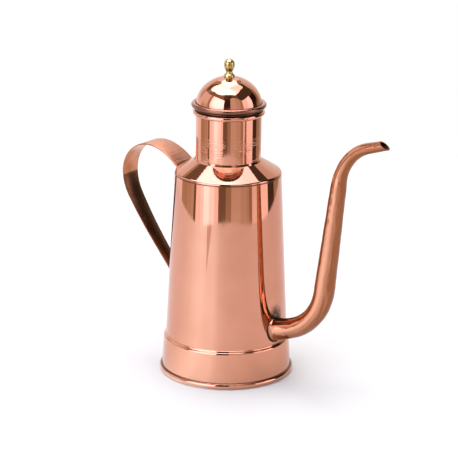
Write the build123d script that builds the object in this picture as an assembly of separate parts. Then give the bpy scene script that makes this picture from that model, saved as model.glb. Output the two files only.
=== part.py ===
from build123d import *
import math
import os

# Long-spouted oil dispenser in sheet copper, with a lift-off domed lid and a turned brass knob.
# Frame: origin on the floor under the pot's axis, +Z up, spout along +X, handle along -X.
# Every length is in millimetres, every angle in degrees.

# Sheet metal and wire
SHEET = 0.8
STRAP_THICKNESS = 1.2
SPOUT_WALL = 0.9

# Pot wall: a cone that narrows upwards
BODY_RADIUS_AT_FLOOR = 51.45
BODY_TAPER = 0.0487
BODY_BOTTOM = 6.5
BODY_TOP = 166.9

# Foot: a plain band with its lower edge curled round a wire
FOOT_BEAD_CENTRE_R = 52.2
FOOT_BEAD_R = 2.7
FOOT_FLAT = 0.15
BAND_FOOT_R = 52.95
BAND_STEP_R = 51.6
BAND_STEP_Z = 27.4
BAND_TOP_R = 50.2
BAND_TOP_Z = 33.2
BAND_STEP_LEAN = 0.03
BEAD_LAP = 0.3

# Bottom plate, crowned a little and turned down at its rim
PLATE_RIM_Z = 10.2
PLATE_CROWN = 1.6
PLATE_CORNER = 1.2

# Shoulder cone and neck
SHOULDER_ANGLE = 31.5
NECK_R = 26.4
SHOULDER_TOP_Z = 179.4
CORNER_FILLET = 2.4
SKIRT_LENGTH = 7.0
NECK_FLANGE = 4.0
NECK_SOLDER = 1.0
RIM_BEAD_CENTRE_R = 27.0
RIM_BEAD_R = 2.0
RIM_BEAD_Z = 218.1

# Lid
LID_SEAT_GAP = 0.1
LID_BEAD_CENTRE_R = 28.2
LID_BEAD_R = 2.0
LID_BEAD_Z = 224.1
DOME_SIDE_R = 26.7
DOME_SIDE_RADIUS = 23.0
DOME_CROWN_RADIUS = 29.0
DOME_TOP_Z = 247.1
COLLAR_R = 24.6
COLLAR_BOTTOM_Z = 200.0
COLLAR_LEAD_IN = 0.5
STOP_BEAD_R = 27.6
COLLAR_UPPER_R = 25.8
COLLAR_TOP_Z = 224.5
LID_SOLDER_HEIGHT = 1.2

# Knob and its screw
KNOB_TOP_Z = 261.1
KNOB_BALL_R = 4.3
KNOB_NECK_R = 2.35
KNOB_NECK_Z = 251.4
KNOB_FOOT_R = 4.5
KNOB_FOOT_EDGE = 0.6
# Where the hollow curve meets the full one, as a share of the way from the neck
KNOB_BALL_TURN = 0.2
KNOB_FOOT_TURN = 0.6
SCREW_R = 1.25
SCREW_HEAD_R = 2.5
SCREW_HEAD_HEIGHT = 1.6
SCREW_HEAD_ROUND = 0.8
SCREW_SLOT_WIDTH = 0.8
SCREW_SLOT_DEPTH = 0.8
SCREW_TIP_Z = 254.0
WASHER_R = 4.5
WASHER_THICKNESS = 0.6
SCREW_HOLE_R = 1.4

# Spout centreline: (x, z) of the root on the pot's wall, then tangent bends and one straight leg
SPOUT_ROOT_X = 48.8
SPOUT_ROOT_Z = 43.8
SPOUT_ROOT_HEADING = 9.6
SPOUT_LOWER_BENDS = ((92.0, 20.5), (46.0, 83.1))
SPOUT_LEG = 91.0
SPOUT_UPPER_BENDS = ((43.0, 54.0), (35.5, 17.0))
SPOUT_TIP_LENGTH = 15.0
SPOUT_TIP_CUT = 51.5
SPOUT_BURIED = 4.0
SPOUT_STEP = 9.0
# Outside radius at distances along the spout, from its root to its tip
SPOUT_RADII = (
    (0.0, 9.2), (14.0, 8.4), (38.0, 8.0), (72.0, 8.4), (155.0, 6.45), (170.0, 5.5), (219.0, 3.95),
)
SPOUT_HOLE_R = 7.4
SPOUT_SOLDER_R = 10.4
SPOUT_SOLDER_REACH = 2.6
SPOUT_SOLDER_DEPTH = 8.0

# Handle strap: the outer face's side view, from the shoulder out and round and back to the wall
STRAP_ROOT = (43.3, 168.3)
STRAP_ROOT_HEADING = 37.5
STRAP_ROOT_RUN = 7.0
STRAP_BENDS = ((45.0, 12.7), (28.5, -90.0), (38.9, -120.7), (354.0, -127.7))
STRAP_LEG_RUN = 32.76
STRAP_FOOT_BEND = 9.0
STRAP_TAB = 13.0
STRAP_ROOT_HALF_WIDTH = 12.0
STRAP_GRIP_HALF_WIDTH = 9.7
STRAP_FOOT_HALF_WIDTH = 5.6
STRAP_FOOT_TAPER_Z = 62.0
STRAP_SOLDER = 1.4
STRAP_SOLDER_THICKNESS = 0.8


def body_radius(z):
    """Outside radius of the pot's conical wall at a height."""
    return BODY_RADIUS_AT_FLOOR - BODY_TAPER * z


def shoulder_height(r):
    """Height of the shoulder cone's outside at a radius."""
    return SHOULDER_TOP_Z - (r - NECK_R) * math.tan(math.radians(SHOULDER_ANGLE))


def shoulder_corner():
    """Radius and height where the wall's line and the shoulder's line meet."""
    slope = math.tan(math.radians(SHOULDER_ANGLE))
    z = (SHOULDER_TOP_Z - (BODY_RADIUS_AT_FLOOR - NECK_R) * slope) / (1 - BODY_TAPER * slope)
    return body_radius(z), z


def turned(face):
    """Solid of revolution of a face drawn as (radius, height)."""
    return revolve(Plane.XZ * face, Axis.Z, 360)


def ring_section(centre_r, centre_z, outer, inner=0.0):
    """Round section of a bead or wire, as a face drawn as (radius, height)."""
    section = Pos(centre_r, centre_z) * Circle(outer)
    if inner > 0:
        section -= Pos(centre_r, centre_z) * Circle(inner)
    return section


def pot_envelope(grow=0.0):
    """Solid that fills the pot to its outside, grown outwards by a distance."""
    corner_r, corner_z = shoulder_corner()
    outline = Polyline(
        (0, 0),
        (BAND_FOOT_R + grow, 0),
        (BAND_FOOT_R + grow, BAND_STEP_Z + grow),
        (BAND_TOP_R + BEAD_LAP + grow, BAND_TOP_Z + grow),
        (body_radius(BAND_TOP_Z) + grow, BAND_TOP_Z + grow),
        (corner_r + grow, corner_z + grow / 2),
        (NECK_R + grow, SHOULDER_TOP_Z + grow),
        (0, SHOULDER_TOP_Z + grow),
        close=True,
    )
    solid = turned(make_face(outline))
    corner = [e for e in solid.edges() if abs(e.center().Z - corner_z - grow / 2) < 0.01]
    return fillet(corner, CORNER_FILLET)


def body_shell():
    """Conical wall rolled from sheet, with the hole that feeds the spout."""
    outline = Polyline(
        (body_radius(BODY_BOTTOM), BODY_BOTTOM),
        (body_radius(BODY_TOP), BODY_TOP),
        (body_radius(BODY_TOP) - SHEET, BODY_TOP),
        (body_radius(BODY_BOTTOM) - SHEET, BODY_BOTTOM),
        close=True,
    )
    return turned(make_face(outline)) - spout_root_plane() * Cylinder(SPOUT_HOLE_R, 20)


def base_band():
    """Band round the pot's foot: stepped in at the top, curled round the foot wire below."""
    middle = ((BAND_STEP_R + BAND_TOP_R) / 2, (BAND_STEP_Z + BAND_TOP_Z) / 2)
    bead_z = FOOT_BEAD_R - FOOT_FLAT
    foot_z = bead_z + FOOT_BEAD_R - BEAD_LAP
    outline = [
        Line((BAND_FOOT_R, foot_z), (BAND_STEP_R, BAND_STEP_Z)),
        TangentArc((BAND_STEP_R, BAND_STEP_Z), middle, tangent=(-BAND_STEP_LEAN, 1)),
        TangentArc((BAND_TOP_R, BAND_TOP_Z), middle, tangent=(BAND_STEP_LEAN, -1)),
        Polyline(
            (BAND_TOP_R, BAND_TOP_Z),
            (body_radius(BAND_TOP_Z), BAND_TOP_Z),
            (body_radius(BAND_STEP_Z + SHEET), BAND_STEP_Z + SHEET),
            (BAND_STEP_R - SHEET, BAND_STEP_Z - 2 * SHEET),
            (BAND_FOOT_R - SHEET, foot_z),
            (BAND_FOOT_R, foot_z),
        ),
    ]
    section = make_face(outline) + ring_section(
        FOOT_BEAD_CENTRE_R, bead_z, FOOT_BEAD_R, FOOT_BEAD_R - SHEET
    )
    floor = Pos(FOOT_BEAD_CENTRE_R, -FOOT_BEAD_R) * Rectangle(4 * FOOT_BEAD_R, 2 * FOOT_BEAD_R)
    return turned(section - floor)


def foot_wire():
    """Wire that stiffens the foot, inside the band's curl."""
    return turned(ring_section(FOOT_BEAD_CENTRE_R, FOOT_BEAD_R - FOOT_FLAT, FOOT_BEAD_R - SHEET))


def plate_section(inset):
    """Face under the bottom plate's top, down to its rim's edge, as (radius, height)."""
    rim_z = PLATE_RIM_Z - PLATE_CORNER
    rim_r = body_radius(rim_z) - SHEET - inset
    flat_r = rim_r - PLATE_CORNER + inset
    top_z = PLATE_RIM_Z - inset
    crown_radius = (flat_r ** 2 + PLATE_CROWN ** 2) / (2 * PLATE_CROWN)
    middle_z = top_z + PLATE_CROWN - crown_radius + math.sqrt(crown_radius ** 2 - flat_r ** 2 / 4)
    outline = [
        Line((body_radius(BODY_BOTTOM) - SHEET - inset, BODY_BOTTOM), (rim_r, rim_z)),
        TangentArc((rim_r, rim_z), (flat_r, top_z), tangent=(0, 1)),
        ThreePointArc((flat_r, top_z), (flat_r / 2, middle_z), (0, top_z + PLATE_CROWN)),
        Polyline(
            (0, top_z + PLATE_CROWN),
            (0, BODY_BOTTOM),
            (body_radius(BODY_BOTTOM) - SHEET - inset, BODY_BOTTOM),
        ),
    ]
    return make_face(outline)


def bottom_plate():
    """Crowned disc with a turned-down rim, soldered inside the wall's lower end."""
    return turned(plate_section(0) - plate_section(SHEET))


def shoulder():
    """Spun cone that closes the pot, joggled at its rim to drop inside the wall."""
    corner_r, corner_z = shoulder_corner()
    thickness = SHEET / math.cos(math.radians(SHOULDER_ANGLE))
    skirt_z = BODY_TOP - SKIRT_LENGTH
    inner_r = body_radius(corner_z) - 2 * SHEET
    outline = Polyline(
        (body_radius(skirt_z) - SHEET, skirt_z),
        (body_radius(BODY_TOP) - SHEET, BODY_TOP),
        (body_radius(BODY_TOP), BODY_TOP),
        (corner_r, corner_z),
        (NECK_R, SHOULDER_TOP_Z),
        (NECK_R, SHOULDER_TOP_Z - thickness),
        (inner_r, shoulder_height(inner_r) - thickness),
        (body_radius(skirt_z) - 2 * SHEET, skirt_z),
        close=True,
    )
    section = make_face(outline)
    corner = section.vertices().sort_by_distance((corner_r, corner_z))[0]
    return turned(fillet(corner, CORNER_FILLET))


def neck():
    """Straight neck with a curled mouth, flared below to grip the shoulder from inside."""
    slope = math.tan(math.radians(SHOULDER_ANGLE))
    thickness = SHEET / math.cos(math.radians(SHOULDER_ANGLE))
    seat = SHOULDER_TOP_Z - thickness
    flange_r = NECK_R + NECK_FLANGE
    lap_z = RIM_BEAD_Z - RIM_BEAD_R + BEAD_LAP
    tube = make_face(Polyline(
        (NECK_R, lap_z),
        (NECK_R, seat),
        (flange_r, seat - NECK_FLANGE * slope),
        (flange_r, seat - NECK_FLANGE * slope - thickness),
        (NECK_R - SHEET, seat + SHEET * slope - thickness),
        (NECK_R - SHEET, lap_z + BEAD_LAP),
        close=True,
    ))
    curl = ring_section(RIM_BEAD_CENTRE_R, RIM_BEAD_Z, RIM_BEAD_R, RIM_BEAD_R - SHEET)
    return turned(tube + curl)


def neck_wire():
    """Wire inside the curl at the neck's mouth."""
    return turned(ring_section(RIM_BEAD_CENTRE_R, RIM_BEAD_Z, RIM_BEAD_R - SHEET))


def neck_solder():
    """Thin solder fillet in the corner between the neck and the shoulder."""
    outer = NECK_R + NECK_SOLDER
    outline = Polyline(
        (NECK_R, SHOULDER_TOP_Z + NECK_SOLDER),
        (NECK_R, SHOULDER_TOP_Z),
        (outer, shoulder_height(outer)),
        close=True,
    )
    return turned(make_face(outline))


def spout_line():
    """Centreline of the spout, drawn as (x, z), from inside the wall to past the tip."""
    heading = SPOUT_ROOT_HEADING
    start = (SPOUT_ROOT_X, SPOUT_ROOT_Z)
    direction = (math.cos(math.radians(heading)), math.sin(math.radians(heading)))
    buried = (start[0] - SPOUT_BURIED * direction[0], start[1] - SPOUT_BURIED * direction[1])
    runs = [Line(buried, start)]
    for radius, end_heading in SPOUT_LOWER_BENDS:
        runs.append(JernArc(runs[-1] @ 1, runs[-1] % 1, radius, end_heading - heading))
        heading = end_heading
    runs.append(Line(runs[-1] @ 1, runs[-1] @ 1 + (runs[-1] % 1) * SPOUT_LEG))
    for radius, end_heading in SPOUT_UPPER_BENDS:
        runs.append(JernArc(runs[-1] @ 1, runs[-1] % 1, radius, end_heading - heading))
        heading = end_heading
    tip = runs[-1] @ 1 + (runs[-1] % 1) * (SPOUT_TIP_LENGTH + 2 * SPOUT_RADII[-1][1])
    runs.append(Line(runs[-1] @ 1, tip))
    return Wire([Plane.XZ * run.edge() for run in runs])


def spout_radius(distance):
    """Outside radius of the spout at a distance along it from its root."""
    stations = SPOUT_RADII
    if distance <= stations[0][0]:
        return stations[0][1]
    for (near, near_r), (far, far_r) in zip(stations, stations[1:]):
        if distance <= far:
            return near_r + (far_r - near_r) * (distance - near) / (far - near)
    return stations[-1][1]


def spout_root_plane():
    """Plane square to the spout where it leaves the wall."""
    heading = math.radians(SPOUT_ROOT_HEADING)
    return Plane(
        origin=(SPOUT_ROOT_X, 0, SPOUT_ROOT_Z),
        x_dir=(0, 1, 0),
        z_dir=(math.cos(heading), 0, math.sin(heading)),
    )


def spout_core(inset):
    """Smooth tapered solid along the spout's centreline, inside its outer face by an inset."""
    line = spout_line()
    count = round(line.length / SPOUT_STEP)
    sections = []
    for i in range(count + 1):
        along = i / count
        tangent = line % along
        plane = Plane(origin=line @ along, x_dir=(0, 1, 0), z_dir=tangent)
        radius = spout_radius(along * line.length - SPOUT_BURIED)
        sections.append(plane * Circle(radius - inset))
    return loft(sections)


def spout_tip_cutter():
    """Block past the slanting cut at the spout's mouth."""
    line = spout_line()
    past_tip = 2 * SPOUT_RADII[-1][1]
    along = 1 - past_tip / line.length
    heading = math.radians(SPOUT_UPPER_BENDS[-1][1] - SPOUT_TIP_CUT + 90)
    plane = Plane(
        origin=line @ along,
        x_dir=(0, 1, 0),
        z_dir=(math.cos(heading), 0, math.sin(heading)),
    )
    side = 6 * past_tip
    return plane * Pos(0, 0, side / 2) * Box(side, side, side)


def spout():
    """Tapered swan-neck tube, saddled on the wall at its root and cut slanting at its mouth."""
    tube = spout_core(0) - spout_core(SPOUT_WALL)
    return tube - pot_envelope() - spout_tip_cutter()


def spout_solder():
    """Brazed collar round the spout's root."""
    depth = SPOUT_SOLDER_DEPTH
    reach = SPOUT_SOLDER_REACH
    radius_out = spout_radius(reach)
    radius_in = SPOUT_SOLDER_R + depth * (SPOUT_SOLDER_R - radius_out) / reach
    cone = Pos(0, 0, (reach - depth) / 2) * Cone(radius_in, radius_out, reach + depth)
    return spout_root_plane() * cone - spout_core(0) - pot_envelope()


def strap_face(inset):
    """Edges of the strap's side view at an inset from its outer face, with radius as x."""
    heading = math.radians(STRAP_ROOT_HEADING)
    start = Vector(STRAP_ROOT[0], STRAP_ROOT[1])
    back = Vector(-math.cos(heading), -math.sin(heading)) * STRAP_ROOT_RUN
    side = Vector(math.sin(heading), -math.cos(heading)) * inset
    angle = STRAP_ROOT_HEADING
    runs = [Line(start + back + side, start - back + side)]
    for radius, end_angle in STRAP_BENDS:
        runs.append(JernArc(runs[-1] @ 1, runs[-1] % 1, radius - inset, end_angle - angle))
        angle = end_angle
    runs.append(Line(runs[-1] @ 1, runs[-1] @ 1 + (runs[-1] % 1) * STRAP_LEG_RUN))
    wall_angle = math.degrees(math.atan(BODY_TAPER)) - 90
    runs.append(JernArc(runs[-1] @ 1, runs[-1] % 1, STRAP_FOOT_BEND + inset, wall_angle - angle))
    runs.append(Line(runs[-1] @ 1, runs[-1] @ 1 + (runs[-1] % 1) * STRAP_TAB))
    return runs


def strap_side_view():
    """Closed side view of the strap, with radius as x and height as y."""
    outer = strap_face(0)
    inner = strap_face(STRAP_THICKNESS)
    ends = [Line(outer[0] @ 0, inner[0] @ 0), Line(outer[-1] @ 1, inner[-1] @ 1)]
    return make_face(outer + inner + ends)


def strap_solid():
    """Strap before it is fitted to the pot: wide at the root, narrow at the foot, on +X."""
    outer = strap_face(0)
    turn = outer[2] @ 1
    half = STRAP_ROOT_HALF_WIDTH
    blank = extrude(Plane.XZ * strap_side_view(), amount=2 * half, both=True)
    grip = STRAP_GRIP_HALF_WIDTH
    foot = STRAP_FOOT_HALF_WIDTH
    root_x = STRAP_ROOT[0]
    plan = make_face(Polyline(
        (root_x - 10, half), (root_x, half), (turn.X + 5, grip),
        (turn.X + 5, -grip), (root_x, -half), (root_x - 10, -half), close=True,
    ))
    front = make_face(Polyline(
        (grip, turn.Y), (foot, STRAP_FOOT_TAPER_Z), (foot, 0),
        (-foot, 0), (-foot, STRAP_FOOT_TAPER_Z), (-grip, turn.Y), close=True,
    ))
    upper = extrude(Pos(0, 0, turn.Y) * plan, amount=50)
    lower = extrude(Plane.YZ * front, amount=150)
    return blank & (upper + lower)


def handle_strap():
    """Strap handle, shaped to the shoulder's corner above and to the wall below."""
    return Rot(0, 0, 180) * (strap_solid() - pot_envelope())


def handle_top_solder():
    """Solder bead along the strap's upper end, in the corner with the shoulder."""
    outer = strap_face(0)[0]
    lift = Vector(-(outer % 0).Y, (outer % 0).X) * STRAP_SOLDER_THICKNESS
    slab = make_face(Polyline(
        outer @ 0, outer @ 1, (outer @ 1) + lift, (outer @ 0) + lift, close=True,
    ))
    half = STRAP_ROOT_HALF_WIDTH - STRAP_SOLDER_THICKNESS
    bead = extrude(Plane.XZ * slab, amount=half, both=True)
    return Rot(0, 0, 180) * ((bead & pot_envelope(STRAP_SOLDER)) - pot_envelope())


def handle_foot_solder():
    """Solder fillet round the tab at the strap's lower end."""
    tab = strap_face(0)[-1]
    top_z = (tab @ 0).Y
    low_z = (tab @ 1).Y - STRAP_SOLDER
    half = STRAP_FOOT_HALF_WIDTH + STRAP_SOLDER
    pad = Pos(BODY_RADIUS_AT_FLOOR, 0, (top_z + low_z) / 2) * Box(20, 2 * half, top_z - low_z)
    skin = pad & pot_envelope(STRAP_SOLDER_THICKNESS)
    return Rot(0, 0, 180) * (skin - pot_envelope() - strap_solid())


def dome_section():
    """Half section of the dome without its bead, as a face drawn as (radius, height)."""
    side_x = DOME_SIDE_R - DOME_SIDE_RADIUS
    crown_z = DOME_TOP_Z - DOME_CROWN_RADIUS
    blend = math.asin(side_x / (DOME_CROWN_RADIUS - DOME_SIDE_RADIUS))
    side_z = crown_z + (DOME_CROWN_RADIUS - DOME_SIDE_RADIUS) * math.cos(blend)

    turn = 90 - math.degrees(blend)
    edges = []
    for inset in (0, SHEET):
        low = JernArc((DOME_SIDE_R - inset, side_z), (0, 1), DOME_SIDE_RADIUS - inset, turn)
        high = JernArc(low @ 1, low % 1, DOME_CROWN_RADIUS - inset, 90 - turn)
        edges += [low, high]
    edges.append(Line(edges[0] @ 0, edges[2] @ 0))
    edges.append(Line(edges[1] @ 1, edges[3] @ 1))
    return make_face(edges)


def lid_dome():
    """Spun dome with its rim curled round the lid's wire, pierced for the knob's screw."""
    curl = ring_section(LID_BEAD_CENTRE_R, LID_BEAD_Z, LID_BEAD_R, LID_BEAD_R - SHEET)
    hole = Pos(0, 0, DOME_TOP_Z) * Cylinder(SCREW_HOLE_R, 10)
    return turned(dome_section() + curl) - hole


def lid_wire():
    """Wire inside the lid's curled rim."""
    return turned(ring_section(LID_BEAD_CENTRE_R, LID_BEAD_Z, LID_BEAD_R - SHEET))


def lid_collar():
    """Sleeve that plugs the neck, with a folded bead that the lid rests on."""
    seat = RIM_BEAD_Z + RIM_BEAD_R + LID_SEAT_GAP
    top = LID_BEAD_Z - LID_BEAD_R
    fold = (top - seat) / 2
    fold_r = STOP_BEAD_R - fold
    outline = [
        Polyline(
            (COLLAR_R - COLLAR_LEAD_IN, COLLAR_BOTTOM_Z),
            (COLLAR_R, COLLAR_BOTTOM_Z + 4 * COLLAR_LEAD_IN),
            (COLLAR_R, seat),
            (fold_r, seat),
        ),
        ThreePointArc((fold_r, seat), (STOP_BEAD_R, seat + fold), (fold_r, top)),
        Polyline(
            (fold_r, top),
            (COLLAR_UPPER_R, top),
            (COLLAR_UPPER_R, COLLAR_TOP_Z),
            (COLLAR_UPPER_R - SHEET, COLLAR_TOP_Z),
            (COLLAR_UPPER_R - SHEET, top - SHEET),
            (fold_r, top - SHEET),
        ),
        ThreePointArc(
            (fold_r, top - SHEET),
            (fold_r + fold - SHEET, seat + fold),
            (fold_r, seat + SHEET),
        ),
        Polyline(
            (fold_r, seat + SHEET),
            (COLLAR_R - SHEET, seat + SHEET),
            (COLLAR_R - SHEET, COLLAR_BOTTOM_Z + 4 * COLLAR_LEAD_IN),
            (COLLAR_R - COLLAR_LEAD_IN - SHEET, COLLAR_BOTTOM_Z),
            (COLLAR_R - COLLAR_LEAD_IN, COLLAR_BOTTOM_Z),
        ),
    ]
    return turned(make_face(outline))


def lid_solder():
    """Solder fillet on the collar's top edge, inside the dome."""
    outline = Polyline(
        (COLLAR_UPPER_R - SHEET, COLLAR_TOP_Z),
        (COLLAR_UPPER_R, COLLAR_TOP_Z),
        (COLLAR_UPPER_R - SHEET / 4, COLLAR_TOP_Z + LID_SOLDER_HEIGHT),
        close=True,
    )
    return turned(make_face(outline))


def crown_height(r, inset=0.0):
    """Height of the dome's crown at a small radius, inside its outer face by an inset."""
    centre = DOME_TOP_Z - DOME_CROWN_RADIUS
    return centre + math.sqrt((DOME_CROWN_RADIUS - inset) ** 2 - r ** 2)


def between(near, far, share):
    """Point a share of the way from one point to another."""
    return (near[0] + (far[0] - near[0]) * share, near[1] + (far[1] - near[1]) * share)


def knob():
    """Turned egg-shaped knob on a slender neck and a bell foot, bored blind for its screw."""
    neck_point = (KNOB_NECK_R, KNOB_NECK_Z)
    widest = (KNOB_BALL_R, KNOB_TOP_Z - KNOB_BALL_R)
    foot_z = crown_height(KNOB_FOOT_R)
    edge = (KNOB_FOOT_R, foot_z + KNOB_FOOT_EDGE)
    under_ball = between(neck_point, widest, KNOB_BALL_TURN)
    above_foot = between(neck_point, edge, KNOB_FOOT_TURN)
    half = KNOB_FOOT_R / 2
    outline = [
        ThreePointArc((0, DOME_TOP_Z), (half, crown_height(half)), (KNOB_FOOT_R, foot_z)),
        Line((KNOB_FOOT_R, foot_z), edge),
        TangentArc(edge, above_foot, tangent=(0, 1)),
        TangentArc(neck_point, above_foot, tangent=(0, -1)),
        TangentArc(neck_point, under_ball, tangent=(0, 1)),
        TangentArc(widest, under_ball, tangent=(0, -1)),
        TangentArc(widest, (0, KNOB_TOP_Z), tangent=(0, 1)),
        Line((0, KNOB_TOP_Z), (0, DOME_TOP_Z)),
    ]
    return turned(make_face(outline)) - screw_shank()


def screw_shank():
    """Plain shank of the knob's screw, from its head to its tip."""
    head_top = crown_height(WASHER_R, SHEET) - WASHER_THICKNESS
    length = SCREW_TIP_Z - head_top
    return Pos(0, 0, head_top + length / 2) * Cylinder(SCREW_R, length)


def knob_washer():
    """Flat washer between the screw's head and the dome's inner face."""
    top = crown_height(WASHER_R, SHEET)
    disc = Pos(0, 0, top - WASHER_THICKNESS / 2) * Cylinder(WASHER_R, WASHER_THICKNESS)
    return disc - Pos(0, 0, top) * Cylinder(SCREW_HOLE_R, 10)


def knob_screw():
    """Pan-head screw that draws the knob down on the dome, with a slot in its head."""
    head_top = crown_height(WASHER_R, SHEET) - WASHER_THICKNESS
    head = Pos(0, 0, head_top - SCREW_HEAD_HEIGHT / 2) * Cylinder(SCREW_HEAD_R, SCREW_HEAD_HEIGHT)
    head = fillet(head.edges().sort_by(Axis.Z)[0], SCREW_HEAD_ROUND)
    slot = Pos(0, 0, head_top - SCREW_HEAD_HEIGHT) * Box(
        2 * SCREW_HEAD_R, SCREW_SLOT_WIDTH, 2 * SCREW_SLOT_DEPTH
    )
    return head + screw_shank() - slot


NODES = {
    "body_shell": body_shell,
    "base_band": base_band,
    "foot_wire": foot_wire,
    "bottom_plate": bottom_plate,
    "shoulder": shoulder,
    "neck": neck,
    "neck_wire": neck_wire,
    "neck_solder": neck_solder,
    "spout": spout,
    "spout_solder": spout_solder,
    "handle_strap": handle_strap,
    "handle_top_solder": handle_top_solder,
    "handle_foot_solder": handle_foot_solder,
    "lid_dome": lid_dome,
    "lid_wire": lid_wire,
    "lid_collar": lid_collar,
    "lid_solder": lid_solder,
    "knob": knob,
    "knob_washer": knob_washer,
    "knob_screw": knob_screw,
}

os.makedirs("parts", exist_ok=True)
for name, make in NODES.items():
    solid = make()
    export_step(solid, f"parts/{name}.step")
    print(name, round(solid.volume, 1), "mm3", len(solid.solids()), "solid(s)")
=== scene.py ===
"""Looks of a copper oil dispenser with a swan-neck spout, built over its CAD frame.

Every length is in metres in the frame of the CAD: the origin is on the floor under the pot's axis, +Z is up, the
spout points along +X and the handle along -X. A profile is a list of (radius, height) points. Headings, azimuths and
elevations are in degrees.
"""

import logging
import math
from dataclasses import dataclass, field, replace
from enum import Enum
from functools import partial
from typing import Any, Iterable, Sequence

import bmesh
import bpy
import numpy as np
from mathutils import Matrix, Vector

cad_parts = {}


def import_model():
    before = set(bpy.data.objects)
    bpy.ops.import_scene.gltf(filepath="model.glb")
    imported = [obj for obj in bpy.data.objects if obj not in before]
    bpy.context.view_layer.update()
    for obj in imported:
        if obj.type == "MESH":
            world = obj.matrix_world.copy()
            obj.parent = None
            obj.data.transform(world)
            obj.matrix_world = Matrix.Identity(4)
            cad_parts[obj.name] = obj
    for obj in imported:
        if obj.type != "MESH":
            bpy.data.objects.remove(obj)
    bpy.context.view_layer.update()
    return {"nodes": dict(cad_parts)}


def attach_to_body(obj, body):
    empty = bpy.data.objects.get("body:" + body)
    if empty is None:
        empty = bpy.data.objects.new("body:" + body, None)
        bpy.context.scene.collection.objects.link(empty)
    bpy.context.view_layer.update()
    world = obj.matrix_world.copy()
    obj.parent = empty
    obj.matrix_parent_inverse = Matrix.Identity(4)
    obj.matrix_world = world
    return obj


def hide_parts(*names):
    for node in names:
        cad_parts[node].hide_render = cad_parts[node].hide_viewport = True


LOG = logging.getLogger("oil_dispenser")
Point = tuple[float, float]
Triple = tuple[float, float, float]
Colour = tuple[float, float, float, float]
Profile = list[Point]
Tree, Node, Socket, Piece = bpy.types.NodeTree, bpy.types.Node, bpy.types.NodeSocket, bpy.types.Object

# Sheet metal and the pot's cones, as in the CAD
SHEET = 0.0008
WALL_RADIUS_AT_FLOOR = 0.05145
WALL_TAPER = 0.0487
NECK_RADIUS = 0.0264
SHOULDER_TOP = 0.1794
SHOULDER_ANGLE = math.radians(31.5)
SHOULDER_SLOPE = math.tan(SHOULDER_ANGLE)
# The shoulder's sheet measured upright
SHOULDER_SHEET = SHEET / math.cos(SHOULDER_ANGLE)

# Greatest angle between two points of an arc, in degrees
ARC_STEP = 6.0

# Nodes that are used often
MATH = "ShaderNodeMath"
VECTOR = "ShaderNodeVectorMath"
MIX = "ShaderNodeMix"
SPAN = "ShaderNodeMapRange"
NOISE = "ShaderNodeTexNoise"
SPLIT = "ShaderNodeSeparateXYZ"
JOIN = "ShaderNodeCombineXYZ"
STORE = "GeometryNodeStoreNamedAttribute"
READ = "GeometryNodeInputNamedAttribute"
MOVE = "GeometryNodeSetPosition"
SWEEP = "GeometryNodeCurveToMesh"


def wall_radius(height: float) -> float:
    """Outside radius of the pot's conical wall at a height."""
    return WALL_RADIUS_AT_FLOOR - WALL_TAPER * height


def shoulder_height(radius: float) -> float:
    """Height of the shoulder's outside at a radius."""
    return SHOULDER_TOP - (radius - NECK_RADIUS) * SHOULDER_SLOPE


def per_metre(size_mm: float) -> float:
    """Texture scale that gives a pattern features of a real size in millimetres."""
    return 1000.0 / size_mm


def linear(hex_colour: str) -> Colour:
    """Turns an sRGB hex colour, such as "#EFAA8E", into the linear colour that a shader takes."""
    parts = [int(hex_colour[i:i + 2], 16) / 255.0 for i in (1, 3, 5)]
    red, green, blue = (p / 12.92 if p <= 0.04045 else ((p + 0.055) / 1.055) ** 2.4 for p in parts)
    return red, green, blue, 1.0


def add(tree: Tree, kind: str, inputs: Any = (), **settings: Any) -> Node:
    """Adds a node with its settings and links.

    Args:
        tree: the tree that gets the node.
        kind: Blender's name for the type of node.
        inputs: a value, an output socket or a node whose first output in use is meant, for each socket in order,
            or by the sockets' names or numbers.
        settings: properties of the node.

    Returns:
        The new node.
    """
    node = tree.nodes.new(kind)
    for name, value in settings.items():
        setattr(node, name, value)
    for key, value in inputs.items() if isinstance(inputs, dict) else enumerate(inputs):
        if isinstance(value, Node):
            value = next(socket for socket in value.outputs if socket.enabled)
        if isinstance(value, Socket):
            tree.links.new(value, node.inputs[key])
        else:
            node.inputs[key].default_value = value
    return node


def fresh_tree(owner: Any) -> Tree:
    """Empties the node tree of a new material or world."""
    owner.use_nodes = True
    owner.node_tree.nodes.clear()
    return owner.node_tree


def new_object(name: str, data: Any) -> Piece:
    """Makes an object and puts it in the scene."""
    result = bpy.data.objects.new(name, data)
    bpy.context.scene.collection.objects.link(result)
    return result


# Profiles and paths


def polar(centre: Point, radius: float, angle: float) -> Point:
    """Point at a distance from another, in a direction in degrees."""
    turn = math.radians(angle)
    return centre[0] + radius * math.cos(turn), centre[1] + radius * math.sin(turn)


def upright(point: Point) -> Triple:
    """Place of a point in the plane of the spout and the handle."""
    return point[0], 0.0, point[1]


def between(near: Point, far: Point, share: float) -> Point:
    """Point a share of the way from one point to another."""
    return near[0] + (far[0] - near[0]) * share, near[1] + (far[1] - near[1]) * share


def arc(centre: Point, radius: float, start: float, end: float, step: float = ARC_STEP) -> Profile:
    """Points on an arc, both ends included.

    Args:
        centre: the arc's centre.
        radius: its radius.
        start: angle of its first point, in degrees.
        end: angle of its last point, in degrees.
        step: greatest angle between two points, in degrees.

    Returns:
        The points in order.
    """
    count = max(2, math.ceil(abs(end - start) / step))
    return [polar(centre, radius, start + (end - start) * i / count) for i in range(count + 1)]


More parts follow.
